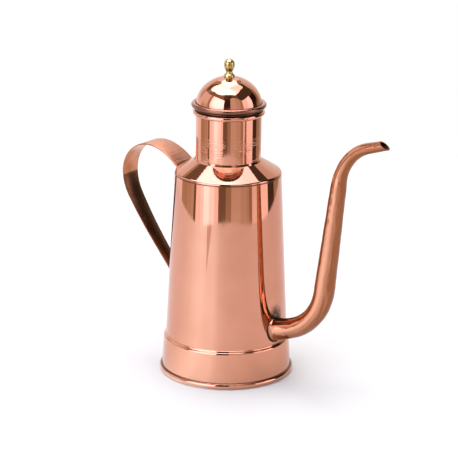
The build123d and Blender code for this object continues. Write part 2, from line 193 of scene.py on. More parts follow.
def tangent_arc(start: Point, end: Point, going: Point, step: float = ARC_STEP) -> Profile:
    """Points on the arc that leaves one point in a given direction and ends at another.

    Args:
        start: the arc's first point.
        end: its last point.
        going: its direction at the first point.
        step: greatest angle between two points, in degrees.

    Returns:
        The points in order.
    """
    scale = math.hypot(*going)
    normal = (-going[1] / scale, going[0] / scale)
    chord = (end[0] - start[0], end[1] - start[1])
    reach = (chord[0] ** 2 + chord[1] ** 2) / (2 * (chord[0] * normal[0] + chord[1] * normal[1]))
    centre = (start[0] + normal[0] * reach, start[1] + normal[1] * reach)
    first, last = (math.degrees(math.atan2(p[1] - centre[1], p[0] - centre[0])) for p in (start, end))
    while reach > 0 and last < first:
        last += 360
    while reach < 0 and last > first:
        last -= 360
    return arc(centre, abs(reach), first, last, step)


def rounded(before: Point, corner: Point, after: Point, radius: float, step: float = ARC_STEP) -> Profile:
    """Points that round the corner between two straight runs.

    Args:
        before: a point on the run that comes to the corner.
        corner: the sharp corner.
        after: a point on the run that leaves it.
        radius: the radius that the corner gets.
        step: greatest angle between two points, in degrees.

    Returns:
        The points of the arc in order.
    """
    middle = Vector(corner)
    back, on = (Vector(before) - middle).normalized(), (Vector(after) - middle).normalized()
    trim = radius / math.tan(back.angle(on) / 2)
    return tangent_arc(tuple(middle + back * trim), tuple(middle + on * trim), tuple(-back), step)


def held(points: Profile, hold: float = 0.0003) -> Profile:
    """Adds a point close to both ends of each long run, so that the shading stays even along it.

    Args:
        points: the profile.
        hold: how far the new points are from a run's ends.

    Returns:
        The profile with the new points.
    """
    result = [points[0]]
    for near, far in zip(points, points[1:]):
        length = math.dist(near, far)
        if length > 5 * hold:
            result += [between(near, far, share) for share in (hold / length, 1 - hold / length)]
        result.append(far)
    return result


@dataclass
class Course:
    """A line in a vertical plane, drawn by straight runs and tangent bends.

    A point is the distance from the pot's axis and the height.
    """

    at: Point
    heading: float
    # Greatest distance between two points
    step: float = 0.0015
    points: Profile = field(default_factory=list)

    def __post_init__(self) -> None:
        self.points.append(self.at)

    def run(self, length: float) -> "Course":
        """Goes straight on for a length."""
        count = max(1, math.ceil(length / self.step))
        self.points += [polar(self.at, length * i / count, self.heading) for i in range(1, count + 1)]
        self.at = self.points[-1]
        return self

    def bend(self, radius: float, heading: float) -> "Course":
        """Turns on an arc of a radius until it has a new heading, in degrees."""
        side = 90.0 if heading > self.heading else -90.0
        centre = polar(self.at, radius, self.heading + side)
        step = min(math.degrees(self.step / radius), ARC_STEP)
        self.points += arc(centre, radius, self.heading - side, heading - side, step)[1:]
        self.at, self.heading = self.points[-1], heading
        return self

    def distances(self) -> list[float]:
        """How far each point is along the line."""
        steps = [math.dist(a, b) for a, b in zip(self.points, self.points[1:])]
        return [0.0] + list(np.cumsum(steps))


# Finishes


# Oxide and old polish, and the colour of painted shade
RESIDUE_AND_SHADE = "#352414"
RESIDUE_AND_SHADE_ROUGHNESS = 0.35
# How far the edge of the residue and the painted shade wanders
RESIDUE_AND_SHADE_EDGE = 0.0008
# Heights between which the lines end that were never buffed off the neck
SCORED_END = (0.195, 0.201)
# Along the spout: where it starts to grow browner towards the tip and where that is at its fullest, and how much
# browner
BROWNER_TOWARDS_TIP = (0.15, 0.205, 0.0, 0.7)
# Along the spout: where its hammer marks fade out, and their strength before and after that
PLANISHED = (0.175, 0.205, 1.0, 0.0)
# Real radius of the spout, and the width of its streaks as a share of their length
GRAIN_RADIUS, GRAIN_SHARE = 0.007, 0.08
# What most values of a noise lie between, and where a soft patch, a scored line and a run of lines come in
USUAL, PATCH, LINE, LINES = (0.25, 0.75), (0.38, 0.66), (0.5, 0.58), (0.44, 0.56)
# How much streaks count in the edge of the painted shade on a side, and where that comes in
STREAKED, SIDE_SHADE_SPAN = 1.3, (0.9, 1.5)
# How flat the view of a surface has to be for the painted dark reflection to come in
FLAT = (0.55, 0.95)


class Working(Enum):
    """How a surface was worked last, with the depth of the marks that this leaves, in metres."""

    BUFFED = 0.00005
    SPUN = 0.000006
    SCORED = 0.00011
    HATCHED = 0.0003
    DRAWN = 0.0002
    TURNED = 0.000003
    WIPED = 0.00012


@dataclass(frozen=True)
class Finish:
    """One finish: what the metal is, how its surface was made, and where shade is painted on it."""

    name: str
    colour: str
    shade: str
    roughness: float
    working: Working
    spread: float = 0.03
    patch_mm: float = 30.0
    # Heights between which the dark colour goes on, and how much: old polish left in a groove, painted shade in
    # recesses and creases, and a darker lower part
    residue_and_shade: tuple[Triple, ...] = ()
    # Side that gets the shade colour as painted shade, where there is one
    painted_shade_side: Triple | None = None
    # How much painted dark reflection goes on where the surface is seen at a flat angle
    painted_dark_limb: float = 0.0
    # Places round which the dark colour goes on, as scale that soldering left and as painted shade in a crevice:
    # centre, inner radius, outer radius and how soft its edge is
    scale: tuple[tuple[Triple, float, float, float], ...] = ()

    def material(self) -> bpy.types.Material:
        """Makes the material, or returns the one already made."""
        found = bpy.data.materials.get(self.name)
        if found:
            return found
        material = bpy.data.materials.new(self.name)
        tree = fresh_tree(material)
        node = partial(add, tree)
        place = node("ShaderNodeTexCoord").outputs["Object"]
        tone = self._tone(tree, place)
        colour = node(MIX, {0: tone, 6: linear(self.colour), 7: linear(self.shade)}, data_type="RGBA")
        height, marks = self._marks(tree, place)
        roughness = node(SPAN, (marks, *USUAL, self.roughness - self.spread, self.roughness + self.spread))
        # One dark colour for old polish, scale and a darker lower part, and for painted shade in recesses, crevices
        # and at flat angles
        if self.residue_and_shade or self.scale or self.painted_dark_limb:
            dirt_and_shade = self._residue_and_shade(tree, place)
            colour = node(MIX, {0: dirt_and_shade, 6: colour, 7: linear(RESIDUE_AND_SHADE)}, data_type="RGBA")
            roughness = node(MIX, {0: dirt_and_shade, 2: roughness, 3: RESIDUE_AND_SHADE_ROUGHNESS})
        bump = node("ShaderNodeBump", {"Height": height, "Distance": self.working.value, "Strength": 1.0})
        looks = {"Base Color": colour, "Metallic": 1.0, "Roughness": roughness, "Normal": bump}
        node("ShaderNodeOutputMaterial", (node("ShaderNodeBsdfPrincipled", looks),))
        return material

    def _tone(self, tree: Tree, place: Socket) -> Node:
        """Adds the share that the shade has in the colour.

        Args:
            tree: the material's tree.
            place: the object coordinates.

        Returns:
            The node with the share: in soft patches, or as painted shade in streaks on the side that faces out and
                down, browner towards the tip.
        """
        node = partial(add, tree)
        if not self.painted_shade_side:
            patches = node(NOISE, {"Vector": place, "Scale": per_metre(self.patch_mm), "Detail": 3.0})
            return node(SPAN, (patches, *PATCH, 0.0, 1.0))
        # Painted shade on the side that faces away from the pot and down, in streaks, and a browner tip
        facing = node("ShaderNodeTexCoord").outputs["Normal"]
        side = node(VECTOR, (facing, self.painted_shade_side), operation="DOT_PRODUCT")
        streaks = node(NOISE, {"Vector": self._grain(tree), "Scale": per_metre(1.6), "Detail": 3.0})
        side = node(MATH, (streaks, STREAKED, side), operation="MULTIPLY_ADD")
        along = node("ShaderNodeAttribute", attribute_name="along").outputs["Fac"]
        side = node(MATH, (side, node(SPAN, (along, *BROWNER_TOWARDS_TIP))), operation="ADD")
        return node(SPAN, (side, *SIDE_SHADE_SPAN, 0.0, 1.0))

    def _grain(self, tree: Tree) -> Node:
        """Adds coordinates that run along a tube, from the attributes that its tree stores."""
        node = partial(add, tree)
        around = node("ShaderNodeAttribute", attribute_name="around").outputs["Vector"]
        along = node("ShaderNodeAttribute", attribute_name="along").outputs["Fac"]
        along = node(JOIN, {2: node(MATH, (along, GRAIN_SHARE), operation="MULTIPLY")})
        return node(VECTOR, (around, (GRAIN_RADIUS, GRAIN_RADIUS, 0.0), along), operation="MULTIPLY_ADD")

    def _residue_and_shade(self, tree: Tree, place: Socket) -> Node:
        """Adds the mask of the residue, the scale and the painted shade, with ragged edges.

        Args:
            tree: the material's tree.
            place: the object coordinates.

        Returns:
            The node whose value is 1 where residue, scale and painted shade go on.
        """
        node = partial(add, tree)
        ragged = node(NOISE, {"Vector": place, "Scale": per_metre(2.5), "Detail": 3.0})
        height = node(MATH, (ragged, RESIDUE_AND_SHADE_EDGE, node(SPLIT, (place,)).outputs[2]), operation="MULTIPLY_ADD")
        # Each patch of residue and painted shade is the product of a mask for either side of it
        patches = [
            (
                node(SPAN, (height, low, low + RESIDUE_AND_SHADE_EDGE, 0.0, amount)),
                node(SPAN, (height, high, high + RESIDUE_AND_SHADE_EDGE, 1.0, 0.0)),
            )
            for low, high, amount in self.residue_and_shade
        ]
        # Rings round a centre: scale on the wall, and painted shade in the braze's crevice
        for centre, inner, outer, soft in self.scale:
            reach = node(VECTOR, (place, centre), operation="DISTANCE")
            reach = node(MATH, (ragged, soft, reach), operation="MULTIPLY_ADD")
            within = node(SPAN, (reach, outer, outer + soft, 1.0, 0.0))
            patches.append((within, node(SPAN, (reach, inner, inner + soft, 0.0, 1.0))))
        mask: Any = 0.0
        for sides in patches:
            mask = node(MATH, (node(MATH, sides, operation="MULTIPLY"), mask), operation="MAXIMUM")
        # Painted dark reflection where the surface is seen at a flat angle
        if self.painted_dark_limb:
            flat = node("ShaderNodeLayerWeight", {"Blend": 0.5}).outputs["Facing"]
            dark_limb_share = node(SPAN, (flat, *FLAT, 0.0, self.painted_dark_limb))
            mask = node(MATH, (dark_limb_share, mask), operation="MAXIMUM")
        return mask

    def _rings(self, tree: Tree, height: Any, width_mm: float, detail: float) -> Node:
        """Adds uneven rings about the Z axis, of a width in millimetres."""
        return add(tree, NOISE, {"W": height, "Scale": per_metre(width_mm), "Detail": detail}, noise_dimensions="1D")

    def _marks(self, tree: Tree, place: Socket) -> tuple[Any, Any]:
        """Adds the nodes for the marks of the working.

        Args:
            tree: the material's tree.
            place: the object coordinates.

        Returns:
            The height of the surface from 0 to 1, and the marks that change the roughness.
        """
        node = partial(add, tree)
        height = node(SPLIT, (place,)).outputs[2]
        if self.working in (Working.BUFFED, Working.SPUN):
            wave = node(NOISE, {"Vector": place, "Scale": per_metre(26.0), "Detail": 1.0})
            if self.working is Working.SPUN:
                rings = self._rings(tree, height, 1.1, 2.0)
                return node(MATH, (rings, wave), operation="ADD"), rings
            stretch = node("ShaderNodeMapping", {"Vector": place, "Scale": (1.0, 1.0, 0.12)})
            return wave, node(NOISE, {"Vector": stretch, "Scale": per_metre(3.0), "Detail": 4.0})
        if self.working is Working.SCORED:
            # The tool's lines are drawn coarser than they are, or this picture wouldn't show them
            cut = node(SPAN, (self._rings(tree, height, 1.3, 1.0), *LINE, 0.0, 1.0))
            runs = node(NOISE, {"Vector": place, "Scale": per_metre(14.0), "Detail": 2.0})
            worn = node(SPAN, (runs, *LINES, 0.0, 1.0))
            low = node(SPAN, (height, *SCORED_END, 1.0, 0.0))
            left = node(MATH, (node(MATH, (cut, worn), operation="MULTIPLY"), low), operation="MULTIPLY")
            return left, left
        if self.working is Working.HATCHED:
            lines = []
            for angle in (40.0, -40.0):
                turned = {"Vector": place, "Rotation": (0.0, 0.0, math.radians(angle)), "Scale": (1.0, 0.06, 1.0)}
                lines_place = node("ShaderNodeMapping", turned)
                # Emery leaves finer lines than these, which wouldn't show
                lines.append(node(NOISE, {"Vector": lines_place, "Scale": per_metre(1.5), "Detail": 3.0}))
            hatch = node(MATH, lines, operation="MAXIMUM")
            return hatch, hatch
        if self.working is Working.DRAWN:
            streaks = node(NOISE, {"Vector": self._grain(tree), "Scale": per_metre(1.8), "Detail": 4.0})
            dents = node("ShaderNodeTexVoronoi", {"Vector": place, "Scale": per_metre(7.0)}, feature="SMOOTH_F1")
            return node(MATH, (streaks, 0.25, dents), operation="MULTIPLY_ADD"), streaks
        if self.working is Working.TURNED:
            rings = self._rings(tree, height, 0.35, 2.0)
            return rings, rings
        flow = node(NOISE, {"Vector": place, "Scale": per_metre(2.2), "Detail": 5.0})
        return flow, flow


SPOUT_JOINT = (0.0488, 0.0, 0.0438)
# Copper sheet buffed on a mop to a mirror: pale pink where it sees white, nearly black where it sees dark.
POLISHED_COPPER = Finish("mop_buffed_copper", "#D59177", "#CF8B70", 0.045, Working.BUFFED, 0.015)
# The same copper painted a little lighter on the foot band, painted light standing in for a brighter mirrored table,
# with dark polish left in the groove above the foot's wire.
LIGHTENED_FOOT_COPPER = Finish(
    "mop_buffed_copper_foot_lightened", "#DA967A", "#D49073", 0.06, Working.BUFFED, 0.015, residue_and_shade=((0.0043, 0.0053, 0.9),)
)
# The same sheet as the wall, with brown scale round the spout's joint and above it.
WALL_COPPER = replace(
    POLISHED_COPPER, name="mop_buffed_copper_wall",
    scale=((SPOUT_JOINT, 0.0, 0.0111, 0.001), ((0.0487, 0.0, 0.0540), 0.0, 0.0075, 0.008)),
)
# The same copper spun on a lathe: as bright, with faint rings round it and a dark line at the shoulder's edge, partly
# the seam and partly painted shade in its crease.
SPUN_COPPER = replace(
    POLISHED_COPPER, name="spun_polished_copper", working=Working.SPUN, spread=0.02, residue_and_shade=((0.1671, 0.1681, 0.9),)
)
# The same copper on the neck, where the lathe tool's rings weren't all buffed out.
SCORED_COPPER = replace(
    POLISHED_COPPER, name="spun_copper_neck", roughness=0.05, working=Working.SCORED, spread=0.01
)
# The same copper on the lid, with painted shade in the recess under its bead, and a dull bead that is darkened with
# painted shade.
LID_COPPER = replace(
    SPUN_COPPER, name="spun_copper_lid", residue_and_shade=((0.2190, 0.2234, 0.9), (0.2190, 0.2258, 0.68))
)
# Strip rubbed with emery cloth both ways: softer shine with a fine cross-hatch, darker in soft patches.
EMERIED_COPPER = Finish("emeried_copper", "#CE9070", "#C08060", 0.38, Working.HATCHED, 0.05, 22.0)
# Inside of the same strip, bright from the rolling mill: only streaked lengthwise, and darker below 150 mm.
ROLLED_COPPER = Finish(
    "mill_rolled_copper", "#CF8A66", "#B06A46", 0.12, Working.BUFFED, 0.02, 12.0, ((0.05, 0.1503, 0.66),)
)
# Tube drawn, filled, bent and planished by hand: streaked along its length, with shallow hammer marks, painted shade
# in brown streaks on its outer, lower side, browner towards the tip, and a painted dark reflection at flat angles.
DRAWN_COPPER = Finish(
    "drawn_copper", "#D08A6B", "#985C3C", 0.14, Working.DRAWN, 0.04, painted_shade_side=(0.95, 0.0, -0.3), painted_dark_limb=0.5
)
# Inside of the tube, never polished.
BORE = Finish("oxidised_copper_bore", "#5E3D2A", "#4A2E1E", 0.45, Working.WIPED, 0.08, 6.0)
# Drawn wire, a little duller than the sheet.
COPPER_WIRE = Finish("drawn_copper_wire", "#C98A6C", "#B8785A", 0.3, Working.WIPED)
# Copper-rich braze, filed and buffed: duller than the copper, uneven, with a dark band along its outer edge that is
# painted shade in the crevice where it meets the wall.
BRAZE = Finish(
    "filed_braze", "#C98A70", "#BE7C5A", 0.25, Working.WIPED, 0.06, 6.0, scale=((SPOUT_JOINT, 0.0101, 0.02, 0.0004),)
)
# Hard solder left as it came from the torch: brown with oxide, and dark enough to stand in as painted shade in the
# joints' creases.
SOLDER_AND_JOINT_SHADE = Finish("oxidised_solder_and_joint_shade", "#6E4630", "#8F5E42", 0.3, Working.WIPED, 0.08, 3.0)
# Soft solder wiped with a cloth.
TIN_SOLDER = Finish("wiped_tin_solder", "#C4C0B8", "#A8A49C", 0.35, Working.WIPED, 0.1, 5.0)
# Hot tin wiped over the inside for food: grey and cloudy.
TIN_LINING = Finish("wiped_tin_lining", "#CBC7BF", "#B3AFA6", 0.3, Working.WIPED, 0.08, 12.0)
# Free-cutting brass turned and polished: golden with very fine rings, and a painted dark reflection at flat angles.
TURNED_BRASS = Finish("turned_free_cutting_brass", "#C5AA76", "#AD8B4E", 0.1, Working.TURNED, 0.03, 8.0, painted_dark_limb=0.6)
# Mild steel with bright zinc plate.
ZINC_PLATE = Finish("zinc_plated_steel", "#B9BCC0", "#A4A7AB", 0.25, Working.TURNED, 0.05, 6.0)


# Geometry trees


# Points closer than this become one, on swept and on turned pieces, and shorter edges go
WELD, FINE_WELD, SLIVER = 0.00001, 0.000002, 0.0000005
# A face that looks further inwards or down than this is tinned
INWARD, DOWNWARD = -0.2, -0.5


def new_tree(name: str, inputs: dict[str, str]) -> tuple[Tree, Any]:
    """Starts a Geometry Nodes tree with named inputs and one geometry output.

    Args:
        name: the tree's name.
        inputs: the kind of each input by its name.

    Returns:
        The tree, and the sockets that give its inputs.
    """
    tree = bpy.data.node_groups.new(name, "GeometryNodeTree")
    for label, kind in inputs.items():
        tree.interface.new_socket(name=label, in_out="INPUT", socket_type="NodeSocket" + kind)
    tree.interface.new_socket(name="Geometry", in_out="OUTPUT", socket_type="NodeSocketGeometry")
    return tree, add(tree, "NodeGroupInput").outputs


def close_tree(tree: Tree, geometry: Any, *finishes: tuple[Any, Any]) -> Tree:
    """Ends a tree with real geometry that has its finishes.

    Args:
        tree: the tree.
        geometry: the node that makes the geometry.
        finishes: each finish, and what picks its faces.

    Returns:
        The tree.
    """
    dressed = add(tree, "GeometryNodeRealizeInstances", (geometry,))
    for finish, faces in finishes:
        dressed = add(tree, "GeometryNodeSetMaterial", {0: dressed, "Material": finish, "Selection": faces})
    add(tree, "NodeGroupOutput", (dressed,))
    return tree


def turning_tree() -> Tree:
    """Tree that turns a profile about the Z axis, point by point, and closes its seam and poles."""
    tree, given = new_tree("turned_shell", {"Profile": "Object", "Turns": "Int", "Finish": "Material"})
    node = partial(add, tree)
    profile = node("GeometryNodeObjectInfo", (given["Profile"],)).outputs["Geometry"]
    count = node("GeometryNodeAttributeDomainSize", (profile,), component="MESH").outputs["Point Count"]
    columns = node(MATH, (given["Turns"], 1.0), operation="ADD")
    grid = node("GeometryNodeMeshGrid", {"Vertices X": columns, "Vertices Y": count})
    index = node("GeometryNodeInputIndex")
    # The small addition keeps rounding from putting a column's first point in the one before
    column = node(MATH, (node(MATH, (index, count), operation="DIVIDE"), 0.0005), operation="ADD")
    column = node(MATH, (column,), operation="FLOOR")
    row = node(MATH, (index, count), operation="MODULO")
    taken = {"Geometry": profile, "Value": node("GeometryNodeInputPosition"), "Index": row}
    at = node(SPLIT, (node("GeometryNodeSampleIndex", taken, data_type="FLOAT_VECTOR", domain="POINT"),)).outputs
    angle = node(MATH, (node(MATH, (column, given["Turns"]), operation="DIVIDE"), math.tau), operation="MULTIPLY")
    x, y = (
        node(MATH, (node(MATH, (angle,), operation=wave), at[0]), operation="MULTIPLY") for wave in ("COSINE", "SINE")
    )
    turned = node(MOVE, {0: grid, "Position": node(JOIN, (x, y, at[2]))})
    closed = node("GeometryNodeMergeByDistance", {0: turned, "Distance": FINE_WELD})
    return close_tree(tree, closed, (given["Finish"], True))


def tube_tree() -> Tree:
    """Tree that sweeps a round tube along a path and slides what is past a slanting cut back onto it."""
    numbers = dict.fromkeys(("Wall", "Dent Depth", "Dent Size"), "Float")
    vectors = dict.fromkeys(("Cut Point", "Cut Normal", "Run"), "Vector")
    finishes = {"Finish": "Material", "Bore Finish": "Material"}
    tree, given = new_tree(
        "tapered_tube", {"Path": "Object", "Section Points": "Int", **numbers, **vectors, **finishes}
    )
    node = partial(add, tree)
    path = node("GeometryNodeObjectInfo", (given["Path"],)).outputs["Geometry"]
    distance = node("GeometryNodeSplineParameter").outputs["Length"]
    path = node(STORE, {0: path, "Name": "along", "Value": distance}, domain="POINT")
    circle = node("GeometryNodeCurvePrimitiveCircle", {"Resolution": given["Section Points"], "Radius": 1.0})
    around = {0: circle, "Name": "around", "Value": node("GeometryNodeInputPosition")}
    circle = node(STORE, around, data_type="FLOAT_VECTOR", domain="POINT")
    # The scale of each ring of the section is the path's own radius there
    radius = node("GeometryNodeInputRadius")
    slim = node(MATH, (radius, given["Wall"]), operation="SUBTRACT")
    slim_path = node("GeometryNodeSetCurveRadius", {0: path, "Radius": slim})
    outside, bore = (
        node(SWEEP, {"Curve": line, "Profile Curve": circle, "Scale": radius}) for line in (path, slim_path)
    )
    noise = node(NOISE, {"Scale": given["Dent Size"], "Detail": 1.0}, noise_dimensions="3D")
    depth = node(MATH, (node(MATH, (noise, 0.5), operation="SUBTRACT"), given["Dent Depth"]), operation="MULTIPLY")
    fade = node(SPAN, (node(READ, {"Name": "along"}, data_type="FLOAT"), *PLANISHED))
    depth = node(MATH, (depth, fade), operation="MULTIPLY")
    push = node(VECTOR, {0: node("GeometryNodeInputNormal"), 3: depth}, operation="SCALE")
    planished = node(MOVE, {0: outside, "Offset": push})
    marked = node(STORE, {0: bore, "Name": "bore", "Value": True}, data_type="BOOLEAN", domain="FACE")
    both = node("GeometryNodeJoinGeometry")
    for part in (planished, node("GeometryNodeFlipFaces", (marked,))):
        tree.links.new(part.outputs[0], both.inputs[0])
    from_cut = node(VECTOR, (node("GeometryNodeInputPosition"), given["Cut Point"]), operation="SUBTRACT")
    past = node(VECTOR, (from_cut, given["Cut Normal"]), operation="DOT_PRODUCT")
    past = node(MATH, (past, 0.0), operation="MAXIMUM")
    slope = node(VECTOR, (given["Run"], given["Cut Normal"]), operation="DOT_PRODUCT")
    back = node(MATH, (node(MATH, (past, slope), operation="DIVIDE"), -1.0), operation="MULTIPLY")
    offset = node(VECTOR, {0: given["Run"], 3: back}, operation="SCALE")
    closed = node("GeometryNodeMergeByDistance", {0: node(MOVE, {0: both, "Offset": offset}), "Distance": WELD})
    bored = node(READ, {"Name": "bore"}, data_type="BOOLEAN")
    return close_tree(tree, closed, (given["Finish"], True), (given["Bore Finish"], bored))


def strap_tree() -> Tree:
    """Tree that sweeps a strap's section along a path and widens it by the path's radius."""
    tree, given = new_tree("tapered_strap", {"Path": "Object", "Section": "Object", "Finish": "Material"})
    node = partial(add, tree)
    path, section = (
        node("GeometryNodeObjectInfo", (given[name],)).outputs["Geometry"] for name in ("Path", "Section")
    )
    kept = node(STORE, {0: path, "Name": "width", "Value": node("GeometryNodeInputRadius")}, domain="POINT")
    even = node("GeometryNodeSetCurveRadius", {0: kept, "Radius": 1.0})
    swept = node(SWEEP, {"Curve": even, "Profile Curve": section, "Scale": 1.0, "Fill Caps": True})
    factor = node(JOIN, (1.0, node(READ, {"Name": "width"}, data_type="FLOAT"), 1.0))
    wide = node(VECTOR, (node("GeometryNodeInputPosition"), factor), operation="MULTIPLY")
    shaped = node(MOVE, {0: swept, "Position": wide})
    closed = node("GeometryNodeMergeByDistance", {0: shaped, "Distance": WELD})
    return close_tree(tree, closed, (given["Finish"], True))


def grow(name: str, tree: Tree, settings: dict[str, Any]) -> Piece:
    """Runs a tree once and keeps what it makes as a plain mesh.

    Args:
        name: the piece's name.
        tree: the Geometry Nodes tree.
        settings: a value for each named input.

    Returns:
        The piece, with no modifier on it.
    """
    host = new_object(name + "_host", bpy.data.meshes.new(name + "_host"))
    modifier = host.modifiers.new("make", "NODES")
    modifier.node_group = tree
    for item in tree.interface.items_tree:
        if item.in_out == "INPUT":
            modifier[item.identifier] = settings[item.name]
    host.update_tag()
    graph = bpy.context.evaluated_depsgraph_get()
    mesh = bpy.data.meshes.new_from_object(host.evaluated_get(graph))
    mesh.name = name
    piece = new_object(name, mesh)
    for done in [host] + [value for value in settings.values() if isinstance(value, Piece)]:
        bpy.data.objects.remove(done)
    return piece


def chain_object(name: str, points: Profile) -> Piece:
    """Object whose mesh is a profile's points, joined by edges in their order."""
    mesh = bpy.data.meshes.new(name)
    mesh.from_pydata([upright(point) for point in points], [(i, i + 1) for i in range(len(points) - 1)], [])
    return new_object(name, mesh)


def curve_object(name: str, points: Sequence[Triple], radii: Sequence[float] = (), cyclic: bool = False) -> Piece:
    """Object that holds one poly curve.

    Args:
        name: the object's name.
        points: the curve's points.
        radii: the curve's radius at each point.
        cyclic: whether the curve is closed.

    Returns:
        The curve object.
    """
    data = bpy.data.curves.new(name, "CURVE")
    data.dimensions = "3D"
    spline = data.splines.new("POLY")
    spline.points.add(len(points) - 1)
    for i, point in enumerate(points):
        spline.points[i].co = (*point, 1.0)
        if radii:
            spline.points[i].radius = radii[i]
    spline.use_cyclic_u = cyclic
    return new_object(name, data)


def tidy(piece: Piece, sharp: float = 32.0) -> None:
    """Points a piece's faces outwards and shades it smooth up to an angle, in degrees."""
    shape = bmesh.new()
    shape.from_mesh(piece.data)
    bmesh.ops.dissolve_degenerate(shape, dist=SLIVER, edges=shape.edges)
    bmesh.ops.recalc_face_normals(shape, faces=shape.faces)
    shape.to_mesh(piece.data)
    shape.free()
    piece.data.shade_smooth()
    piece.data.set_sharp_from_angle(angle=math.radians(sharp))


def line_inside(piece: Piece, low: float, high: float, largest: float = math.inf) -> None:
    """Tins the faces that look inwards.

    Args:
        piece: the turned piece.
        low: lowest height that is tinned.
        high: highest height that is tinned.
        largest: greatest radius that is tinned.
    """
    piece.data.materials.append(TIN_LINING.material())
    for face in piece.data.polygons:
        centre, normal = face.center, face.normal
        reach = math.hypot(centre.x, centre.y)
        inward = centre.x * normal.x + centre.y * normal.y < INWARD * reach or normal.z < DOWNWARD
        if inward and low < centre.z < high and reach < largest:
            face.material_index = 1


def attach(piece: Piece, body: str, node: str) -> None:
    """Makes a piece ride on a body in place of a CAD node, which it hides."""
    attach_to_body(piece, body)
    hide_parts(node)
    LOG.info("%s: %d faces on %s for %s", piece.name, len(piece.data.polygons), body, node)


@dataclass
class Lathe:
    """Turns profiles into pieces."""

    turns: int = 224
    tree: Tree = field(default_factory=turning_tree)

    def turn(self, name: str, profile: Profile, finish: Finish, turns: int = 0) -> Piece:
        """Makes one turned piece.

        Args:
            name: the piece's name.
            profile: its closed profile.
            finish: its finish.
            turns: faces round it, where that isn't the lathe's own number.

        Returns:
            The piece.
        """
        line = chain_object(name + "_profile", profile)
        settings = {"Profile": line, "Turns": turns or self.turns, "Finish": finish.material()}
        piece = grow(name, self.tree, settings)
        tidy(piece)
        return piece


@dataclass
class Pot:
    """The pot: wall, wired foot band, shoulder and wired neck."""

    wall_bottom: float = 0.0065
    wall_top: float = 0.1669
    bead_centre: float = 0.0522
    bead_radius: float = 0.00269
    foot_flat: float = 0.00015
    band_foot: float = 0.05295
    band_step: Point = (0.0516, 0.0286)
    band_top: Point = (0.0502, 0.0318)
    band_lean: float = 0.03
    band_edge: float = 0.00015
    corner_radius: float = 0.0024
    skirt: float = 0.007
    flange: float = 0.004
    rim_centre: Point = (0.0270, 0.2181)
    rim_radius: float = 0.002

    def wall(self) -> Profile:
        """Closed profile of the conical wall."""
        low, high = wall_radius(self.wall_bottom), wall_radius(self.wall_top)
        outside = [(low, self.wall_bottom), (high, self.wall_top)]
        inside = [(high - SHEET, self.wall_top), (low - SHEET, self.wall_bottom)]
        return held(outside + inside + outside[:1])

    def band(self) -> Profile:
        """Closed profile of the foot band, from its top edge down round the wire's curl and back inside."""
        middle = between(self.band_step, self.band_top, 0.5)
        upper = tangent_arc(self.band_top, middle, (self.band_lean, -1.0), 4.0)
        lower = tangent_arc(self.band_step, middle, (-self.band_lean, 1.0), 4.0)[::-1]
        centre = (self.bead_centre, self.bead_radius - self.foot_flat)
        crease, tuck = (
            math.degrees(math.acos((radius - self.bead_centre) / self.bead_radius))
            for radius in (self.band_foot, self.band_foot - SHEET)
        )
        curl = [(r, max(z, 0.0)) for r, z in arc(centre, self.bead_radius, crease, tuck - 360.0, 7.5)]
        (step_r, step_z), (top_r, top_z) = self.band_step, self.band_top
        start = [(wall_radius(top_z), top_z), (top_r - self.band_edge, top_z), (top_r, top_z - self.band_edge)]
        back = [(step_r - SHEET, step_z - 2 * SHEET), (wall_radius(step_z + SHEET), step_z + SHEET)]
        return held(start + upper[1:] + lower[1:] + curl + back + start[:1])

    def shoulder(self) -> Profile:
        """Closed profile of the shoulder cone with its skirt inside the wall."""
        apex = SHOULDER_TOP - (WALL_RADIUS_AT_FLOOR - NECK_RADIUS) * SHOULDER_SLOPE
        corner_z = apex / (1 - WALL_TAPER * SHOULDER_SLOPE)
        corner = (wall_radius(corner_z), corner_z)
        below = (wall_radius(self.wall_top), self.wall_top)
        top = (NECK_RADIUS - SHEET / 2, SHOULDER_TOP + SHEET / 2 * SHOULDER_SLOPE)
        inner = corner[0] - 2 * SHEET
        skirt_z = self.wall_top - self.skirt
        skirt_r = wall_radius(skirt_z)
        back = [
            (top[0], top[1] - SHOULDER_SHEET),
            (inner, shoulder_height(inner) - SHOULDER_SHEET),
            (skirt_r - 2 * SHEET, skirt_z),
            (skirt_r - SHEET, skirt_z),
            (below[0] - SHEET, below[1]),
            below,
        ]
        return held([below] + rounded(below, corner, top, self.corner_radius, 5.0) + [top] + back)

    def neck(self) -> Profile:
        """Closed profile of the neck, from its flange inside the shoulder up round the wire's curl."""
        seat = SHOULDER_TOP - SHOULDER_SHEET
        flange = (NECK_RADIUS + self.flange, seat - self.flange * SHOULDER_SLOPE)
        crease, tuck = (
            math.degrees(math.acos((radius - self.rim_centre[0]) / self.rim_radius))
            for radius in (NECK_RADIUS, NECK_RADIUS - SHEET)
        )
        curl = arc(self.rim_centre, self.rim_radius, -crease, 360 - tuck, 9.0)
        inside = (NECK_RADIUS - SHEET, seat + SHEET * SHOULDER_SLOPE - SHOULDER_SHEET)
        back = [inside, (flange[0], flange[1] - SHOULDER_SHEET), flange]
        return held([flange, (NECK_RADIUS, seat)] + curl + back)

    def build(self, lathe: Lathe) -> None:
        """Makes the pot's pieces and lets them stand for their CAD nodes."""
        wall = lathe.turn("pot_wall", self.wall(), WALL_COPPER)
        line_inside(wall, self.wall_bottom, self.wall_top)
        attach(wall, "pot", "body_shell")
        attach(lathe.turn("foot_band", self.band(), LIGHTENED_FOOT_COPPER), "pot", "base_band")
        shoulder = lathe.turn("pot_shoulder", self.shoulder(), SPUN_COPPER)
        line_inside(shoulder, 0.0, SHOULDER_TOP, wall_radius(self.wall_top) - 1.5 * SHEET)
        attach(shoulder, "pot", "shoulder")
        neck = lathe.turn("pot_neck", self.neck(), SCORED_COPPER)
        line_inside(neck, 0.0, self.rim_centre[1] - self.rim_radius / 2)
        attach(neck, "pot", "neck")


